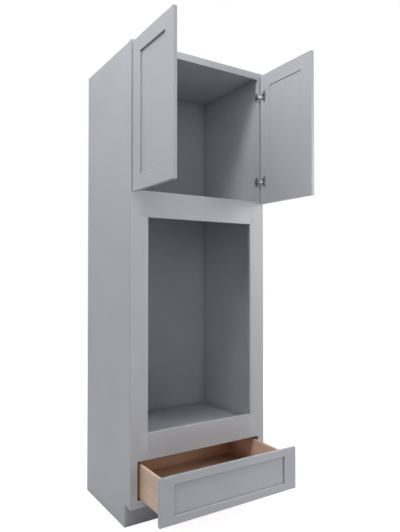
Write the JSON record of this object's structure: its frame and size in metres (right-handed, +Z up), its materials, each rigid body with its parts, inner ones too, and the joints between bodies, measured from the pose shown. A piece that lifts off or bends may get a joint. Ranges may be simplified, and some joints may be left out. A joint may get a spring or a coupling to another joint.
{
  "type": "tall oven cabinet",
  "caption": "Tall framed oven housing with a pair of panelled doors above the oven cut-out, a drawer on undermount slides below it and a recessed toe space.",
  "frame": {"origin": "middle of the back edge at the floor: the wall plane is y = 0, the floor is z = 0, the cabinet's middle is x = 0", "axes": "+X to the right seen from the front, -Y out of the front, +Z up"},
  "size_m": [0.8382, 1.0246, 2.4384],
  "materials": {
    "paint": "satin grey paint on hardwood",
    "inside_paint": "satin grey paint on plywood",
    "kick_paint": "matt grey paint on plywood",
    "birch": "clear lacquered birch",
    "drawer_bottom": "clear lacquered plywood",
    "plated_steel": "bright zinc plate",
    "screws": "zinc plate",
    "nylon": "moulded, fine grain",
    "bumpers": "soft clear dot"
  },
  "bodies": {
    "carcass": {"left_side_panel": "paint", "right_side_panel": "paint", "back_panel": "inside_paint", "top_panel": "inside_paint", "upper_deck": "inside_paint", "oven_floor": "inside_paint", "bottom_panel": "inside_paint", "toe_kick_board": "kick_paint", "left_stile": "paint", "right_stile": "paint", "top_rail": "paint", "head_rail": "paint", "sill_rail": "paint", "bottom_rail": "paint", "left_filler": "paint", "right_filler": "paint", "hinge_arms": "plated_steel", "hinge_arm_screws": "screws", "slide_cabinet_members": "plated_steel", "slide_rear_brackets": "nylon", "slide_screws": "screws"},
    "left_door": {"left_door_hinge_stile": "paint", "left_door_lock_stile": "paint", "left_door_top_rail": "paint", "left_door_bottom_rail": "paint", "left_door_panel": "paint", "left_hinge_cups": "plated_steel", "left_cup_screws": "screws", "left_door_bumpers": "bumpers"},
    "left_links": {"left_hinge_links": "plated_steel"},
    "right_door": {"right_door_hinge_stile": "paint", "right_door_lock_stile": "paint", "right_door_top_rail": "paint", "right_door_bottom_rail": "paint", "right_door_panel": "paint", "right_hinge_cups": "plated_steel", "right_cup_screws": "screws", "right_door_bumpers": "bumpers"},
    "right_links": {"right_hinge_links": "plated_steel"},
    "drawer": {"drawer_front_left_stile": "paint", "drawer_front_right_stile": "paint", "drawer_front_top_rail": "paint", "drawer_front_bottom_rail": "paint", "drawer_front_panel": "paint", "drawer_left_side": "birch", "drawer_right_side": "birch", "drawer_box_front": "birch", "drawer_box_back": "birch", "drawer_bottom": "drawer_bottom", "drawer_front_screws": "screws", "drawer_bumpers": "bumpers", "slide_drawer_members": "plated_steel", "drawer_clips": "nylon"},
    "middle_members": {"slide_middle_members": "plated_steel"},
    "lower_rollers": {"slide_lower_rollers": "nylon"},
    "upper_rollers": {"slide_upper_rollers": "nylon"}
  },
  "joints": [
    {"name": "left_door_hinge", "type": "hinge", "parent": "carcass", "child": "left_door", "pos_m": [-0.4058, -0.6204, 2], "axis": [0, 0, -1], "range_deg": [-90, 10]},
    {"name": "left_link_pivot", "type": "hinge", "parent": "left_door", "child": "left_links", "pos_m": [-0.3982, -0.629, 2], "axis": [0, 0, 1], "range_deg": [-144.25, 16.07]},
    {"name": "right_door_hinge", "type": "hinge", "parent": "carcass", "child": "right_door", "pos_m": [0.4058, -0.6204, 2], "axis": [0, 0, 1], "range_deg": [-90, 10]},
    {"name": "right_link_pivot", "type": "hinge", "parent": "right_door", "child": "right_links", "pos_m": [0.3982, -0.629, 2], "axis": [0, 0, -1], "range_deg": [-144.25, 16.07]},
    {"name": "drawer_slide", "type": "slide", "parent": "carcass", "child": "drawer", "axis": [0, -1, 0], "range_m": [-0.259, 0.261]},
    {"name": "middle_member_slide", "type": "slide", "parent": "carcass", "child": "middle_members", "axis": [0, -1, 0], "range_m": [-0.1295, 0.1305]},
    {"name": "lower_roller_travel", "type": "slide", "parent": "carcass", "child": "lower_rollers", "axis": [0, -1, 0], "range_m": [-0.06475, 0.06525]},
    {"name": "upper_roller_travel", "type": "slide", "parent": "carcass", "child": "upper_rollers", "axis": [0, -1, 0], "range_m": [-0.19425, 0.19575]}
  ],
  "couplings": [
    {"joint": "left_link_pivot", "follows": "left_door_hinge", "ratio": 1.6023},
    {"joint": "right_link_pivot", "follows": "right_door_hinge", "ratio": 1.6023},
    {"joint": "middle_member_slide", "follows": "drawer_slide", "ratio": 0.5},
    {"joint": "lower_roller_travel", "follows": "drawer_slide", "ratio": 0.25},
    {"joint": "upper_roller_travel", "follows": "drawer_slide", "ratio": 0.75}
  ]
}
